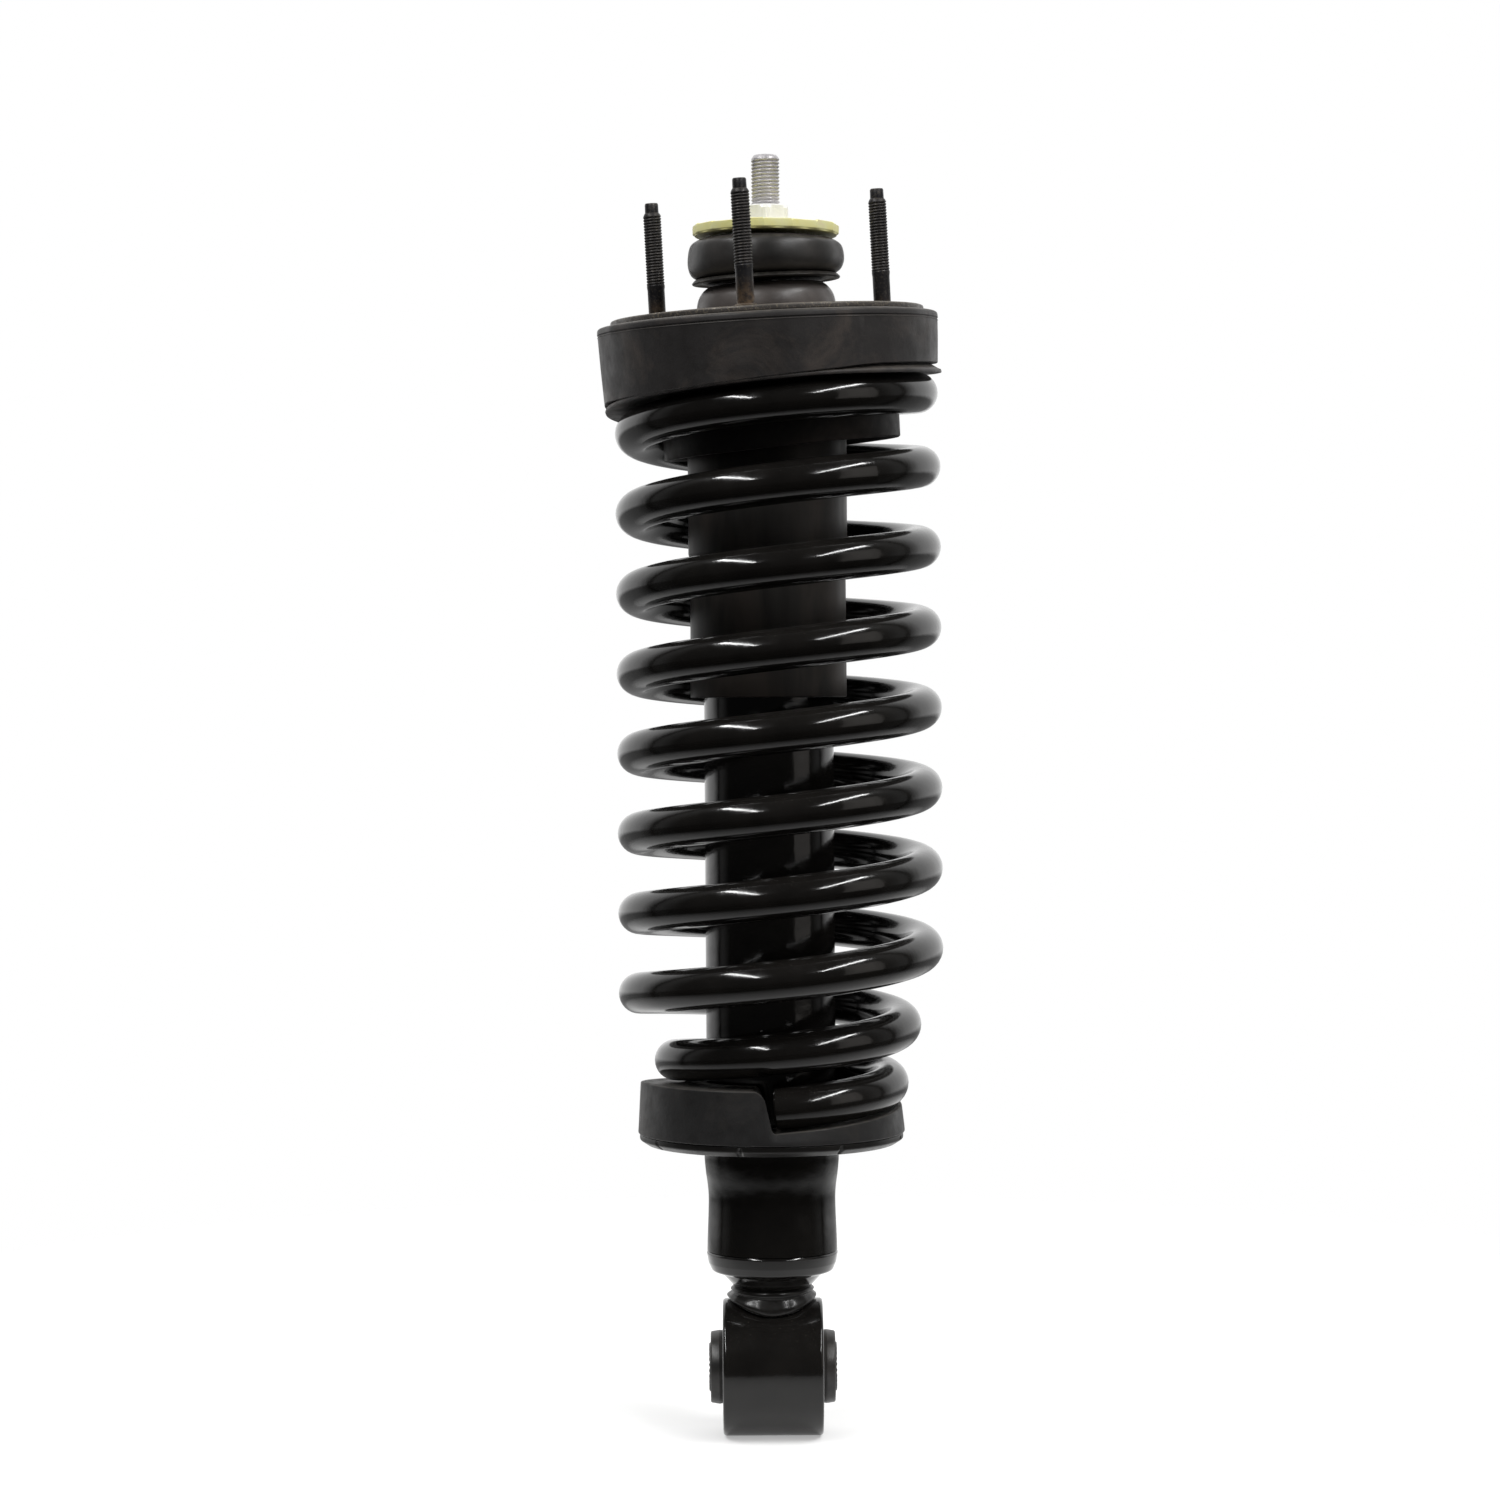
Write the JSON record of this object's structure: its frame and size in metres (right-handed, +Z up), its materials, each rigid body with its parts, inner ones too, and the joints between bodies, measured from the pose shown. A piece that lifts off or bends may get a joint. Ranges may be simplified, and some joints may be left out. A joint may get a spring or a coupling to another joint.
{
  "type": "strut assembly",
  "caption": "Coil-over suspension strut: gas damper with a rubber-bushed lower eye, black coil spring on a perch, dust boot, and a rubber upper mount with threaded studs.",
  "frame": {"origin": "centre of the lower eye's bolt hole", "axes": "+Z up the damper's axis to the rod's tip, +X along the lower bolt, -Y to the side where both coil ends' faces are nearest the front stud"},
  "size_m": [0.1454, 0.1449, 0.545],
  "materials": {
    "gloss_black_paint": "gloss",
    "spring_coat": "gloss",
    "mount_rubber": "matte, dusty",
    "bushing_rubber": "satin",
    "boot_plastic": "satin",
    "bump_foam": "matte foam",
    "black_steel": "black oxide",
    "bright_steel": "zinc plated",
    "yellow_zinc": "yellow zinc plated",
    "chrome_rod": "polished",
    "sintered_iron": "sintered",
    "piston_band": "filled PTFE",
    "seal_rubber": "matte"
  },
  "bodies": {
    "damper": {"eye_ring": "gloss_black_paint", "bush_shell": "black_steel", "bush_rubber": "bushing_rubber", "weld_bead": "gloss_black_paint", "base_cup": "gloss_black_paint", "reserve_tube": "gloss_black_paint", "spring_perch": "gloss_black_paint", "lower_isolator": "mount_rubber", "coil_spring": "spring_coat", "tube_cap": "black_steel", "rod_seal": "seal_rubber", "rod_guide": "sintered_iron", "pressure_tube": "bright_steel", "base_valve_body": "sintered_iron", "base_valve_disc": "bright_steel", "base_valve_bolt": "bright_steel"},
    "bolt_sleeve": {"eye_sleeve": "black_steel"},
    "rod": {"piston_rod": "chrome_rod", "rebound_stop": "seal_rubber", "compression_discs": "bright_steel", "piston": "sintered_iron", "piston_band": "piston_band", "rebound_discs": "bright_steel", "piston_nut": "bright_steel", "bump_stop": "bump_foam", "boot_cup": "black_steel", "dust_boot": "boot_plastic", "lower_washer": "bright_steel", "spacer_sleeve": "bright_steel", "cupped_washer": "yellow_zinc", "rod_nut": "bright_steel"},
    "mount_bushing": {"lower_bushing": "bushing_rubber", "upper_bushing": "bushing_rubber", "bushing_ring": "black_steel"},
    "top_mount": {"mount_drum": "mount_rubber", "upper_isolator": "mount_rubber", "top_plate": "black_steel", "mount_tower": "bushing_rubber", "stud_front": "black_steel", "stud_right": "black_steel", "stud_left": "black_steel"}
  },
  "joints": [
    {"name": "stroke", "type": "slide", "parent": "damper", "child": "rod", "axis": [0, 0, 1], "range_m": [-0.092, 0], "stiffness_N_per_m": 58000, "springref_m": 0.005, "deforming": ["coil_spring", "bump_stop"]},
    {"name": "mount_pitch", "type": "hinge", "parent": "rod", "child": "mount_bushing", "pos_m": [0, 0, 0.452], "axis": [1, 0, 0], "range_deg": [-2, 2], "stiffness_Nm_per_rad": 300},
    {"name": "mount_roll", "type": "hinge", "parent": "mount_bushing", "child": "top_mount", "pos_m": [0, 0, 0.452], "axis": [0, 1, 0], "range_deg": [-2, 2], "stiffness_Nm_per_rad": 300},
    {"name": "eye_pivot", "type": "hinge", "parent": "damper", "child": "bolt_sleeve", "pos_m": [0, 0, 0], "axis": [1, 0, 0], "range_deg": [-15, 15], "stiffness_Nm_per_rad": 80}
  ]
}
